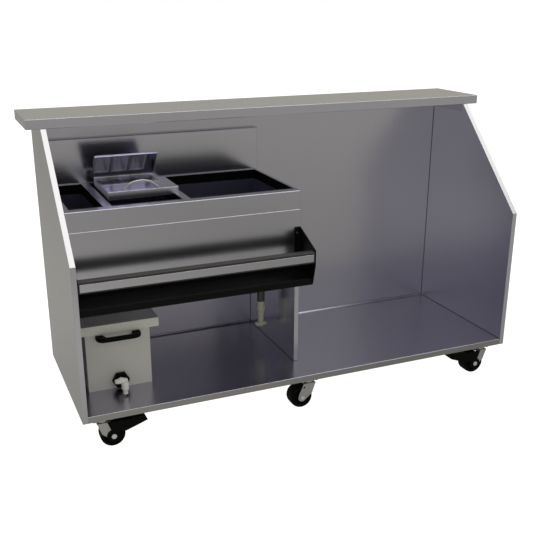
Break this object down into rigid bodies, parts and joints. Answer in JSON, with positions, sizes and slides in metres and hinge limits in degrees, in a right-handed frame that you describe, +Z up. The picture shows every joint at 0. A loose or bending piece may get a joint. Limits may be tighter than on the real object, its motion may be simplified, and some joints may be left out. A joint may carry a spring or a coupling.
{
  "type": "mobile bar unit",
  "caption": "Mobile stainless bar on swivel casters with a raised top, ice bin, speed rail, condiment tray with hinged lid, pull-out tank with spigot and an open storage bay.",
  "frame": {"origin": "on the floor below the middle of the unit's bounding box", "axes": "+X along the bar to the bartender's right, +Y from the bartender to the guests, +Z up"},
  "size_m": [1.829, 0.662, 1.095],
  "materials": {
    "satin_stainless": "satin stainless sheet",
    "zinc_steel": "bright zinc plated",
    "black_plastic": "black moulded plastic",
    "black_enamel": "black enamelled sheet",
    "foam": "rigid foam",
    "grey_pipe": "dark grey pipe",
    "white_plastic": "white moulded plastic",
    "grey_plastic": "light grey moulded plastic",
    "black_rubber": "black rubber"
  },
  "bodies": {
    "cabinet": {"bar_top": "satin_stainless", "left_end_panel": "satin_stainless", "right_end_panel": "satin_stainless", "back_panel": "satin_stainless", "base_deck": "satin_stainless", "divider_panel": "satin_stainless", "bar_fixing_angles": "satin_stainless", "front_base_channel": "satin_stainless", "rear_base_channel": "satin_stainless", "bin_top": "satin_stainless", "bin_backsplash": "satin_stainless", "bin_apron": "satin_stainless", "bin_bottom_pan": "satin_stainless", "left_well_liner": "satin_stainless", "middle_well_liner": "satin_stainless", "ice_well_liner": "satin_stainless", "drain_strainer": "satin_stainless", "rail_front_strip": "satin_stainless", "rail_screws": "satin_stainless", "caster_plates": "zinc_steel", "caster_plate_bolts": "zinc_steel", "left_well_collar": "black_plastic", "middle_well_collar": "black_plastic", "ice_well_collar": "black_plastic", "rail_shelf": "black_enamel", "left_rail_end": "black_enamel", "right_rail_end": "black_enamel", "rail_front_bar": "black_enamel", "bin_insulation": "foam", "drain_pipe": "grey_pipe", "drain_valve_body": "white_plastic"},
    "condiment_tray": {"condiment_tray": "satin_stainless", "condiment_handle": "satin_stainless", "condiment_hinge_pin": "satin_stainless"},
    "condiment_lid": {"condiment_lid": "satin_stainless"},
    "tank": {"tank_body": "grey_plastic", "tank_handle": "black_plastic", "tank_handle_screws": "satin_stainless", "spigot_nut": "black_plastic", "spigot_gasket": "black_rubber", "spigot_body": "white_plastic"},
    "tank_lid": {"tank_lid": "grey_plastic"},
    "spigot_handle": {"spigot_handle": "white_plastic"},
    "drain_valve_handle": {"drain_valve_handle": "white_plastic"},
    "fork_front_left": {"caster_fork_front_left": "zinc_steel", "brake_covers_front_left": "black_plastic"},
    "wheel_front_left": {"caster_wheel_front_left": "black_rubber"},
    "pedal_front_left": {"brake_pedal_front_left": "black_plastic"},
    "fork_front_middle": {"caster_fork_front_middle": "zinc_steel"},
    "wheel_front_middle": {"caster_wheel_front_middle": "black_rubber"},
    "fork_front_right": {"caster_fork_front_right": "zinc_steel", "brake_covers_front_right": "black_plastic"},
    "wheel_front_right": {"caster_wheel_front_right": "black_rubber"},
    "pedal_front_right": {"brake_pedal_front_right": "black_plastic"},
    "fork_rear_left": {"caster_fork_rear_left": "zinc_steel"},
    "wheel_rear_left": {"caster_wheel_rear_left": "black_rubber"},
    "fork_rear_middle": {"caster_fork_rear_middle": "zinc_steel"},
    "wheel_rear_middle": {"caster_wheel_rear_middle": "black_rubber"},
    "fork_rear_right": {"caster_fork_rear_right": "zinc_steel"},
    "wheel_rear_right": {"caster_wheel_rear_right": "black_rubber"}
  },
  "joints": [
    {"name": "condiment_tray_slide", "type": "slide", "parent": "cabinet", "child": "condiment_tray", "axis": [0, 1, 0], "range_m": [-0.08, 0.008]},
    {"name": "condiment_lid_hinge", "type": "hinge", "parent": "condiment_tray", "child": "condiment_lid", "pos_m": [-0.567, 0.154, 0.8572], "axis": [1, 0, 0], "range_deg": [-55, 48]},
    {"name": "tank_pull_out", "type": "slide", "parent": "cabinet", "child": "tank", "axis": [0, -1, 0], "range_m": [0, 0.3]},
    {"name": "tank_lid_lift", "type": "slide", "parent": "tank", "child": "tank_lid", "axis": [0, 0, 1], "range_m": [0, 0.06]},
    {"name": "spigot_turn", "type": "hinge", "parent": "tank", "child": "spigot_handle", "pos_m": [-0.69225, -0.2225, 0.2045], "axis": [0, 0, 1], "range_deg": [0, 90]},
    {"name": "drain_valve_turn", "type": "hinge", "parent": "cabinet", "child": "drain_valve_handle", "pos_m": [-0.075, 0.013, 0.2415], "axis": [0, 0, 1], "range_deg": [0, 90]},
    {"name": "swivel_front_left", "type": "hinge", "parent": "cabinet", "child": "fork_front_left", "pos_m": [-0.792, -0.265, 0.105], "axis": [0, 0, 1], "continuous": true},
    {"name": "roll_front_left", "type": "hinge", "parent": "fork_front_left", "child": "wheel_front_left", "pos_m": [-0.759, -0.265, 0.0445], "axis": [0, 1, 0], "continuous": true},
    {"name": "brake_front_left", "type": "hinge", "parent": "fork_front_left", "child": "pedal_front_left", "pos_m": [-0.767, -0.265, 0.0855], "axis": [0, 1, 0], "range_deg": [0, 10]},
    {"name": "swivel_front_middle", "type": "hinge", "parent": "cabinet", "child": "fork_front_middle", "pos_m": [0, -0.265, 0.105], "axis": [0, 0, 1], "continuous": true},
    {"name": "roll_front_middle", "type": "hinge", "parent": "fork_front_middle", "child": "wheel_front_middle", "pos_m": [-0.033, -0.265, 0.0445], "axis": [0, 1, 0], "continuous": true},
    {"name": "swivel_front_right", "type": "hinge", "parent": "cabinet", "child": "fork_front_right", "pos_m": [0.792, -0.265, 0.105], "axis": [0, 0, 1], "continuous": true},
    {"name": "roll_front_right", "type": "hinge", "parent": "fork_front_right", "child": "wheel_front_right", "pos_m": [0.759, -0.265, 0.0445], "axis": [0, 1, 0], "continuous": true},
    {"name": "brake_front_right", "type": "hinge", "parent": "fork_front_right", "child": "pedal_front_right", "pos_m": [0.767, -0.265, 0.0855], "axis": [0, 1, 0], "range_deg": [-10, 0]},
    {"name": "swivel_rear_left", "type": "hinge", "parent": "cabinet", "child": "fork_rear_left", "pos_m": [-0.792, 0.2145, 0.105], "axis": [0, 0, 1], "continuous": true},
    {"name": "roll_rear_left", "type": "hinge", "parent": "fork_rear_left", "child": "wheel_rear_left", "pos_m": [-0.759, 0.2145, 0.0445], "axis": [0, 1, 0], "continuous": true},
    {"name": "swivel_rear_middle", "type": "hinge", "parent": "cabinet", "child": "fork_rear_middle", "pos_m": [0, 0.2145, 0.105], "axis": [0, 0, 1], "continuous": true},
    {"name": "roll_rear_middle", "type": "hinge", "parent": "fork_rear_middle", "child": "wheel_rear_middle", "pos_m": [-0.033, 0.2145, 0.0445], "axis": [0, 1, 0], "continuous": true},
    {"name": "swivel_rear_right", "type": "hinge", "parent": "cabinet", "child": "fork_rear_right", "pos_m": [0.792, 0.2145, 0.105], "axis": [0, 0, 1], "continuous": true},
    {"name": "roll_rear_right", "type": "hinge", "parent": "fork_rear_right", "child": "wheel_rear_right", "pos_m": [0.759, 0.2145, 0.0445], "axis": [0, 1, 0], "continuous": true}
  ]
}
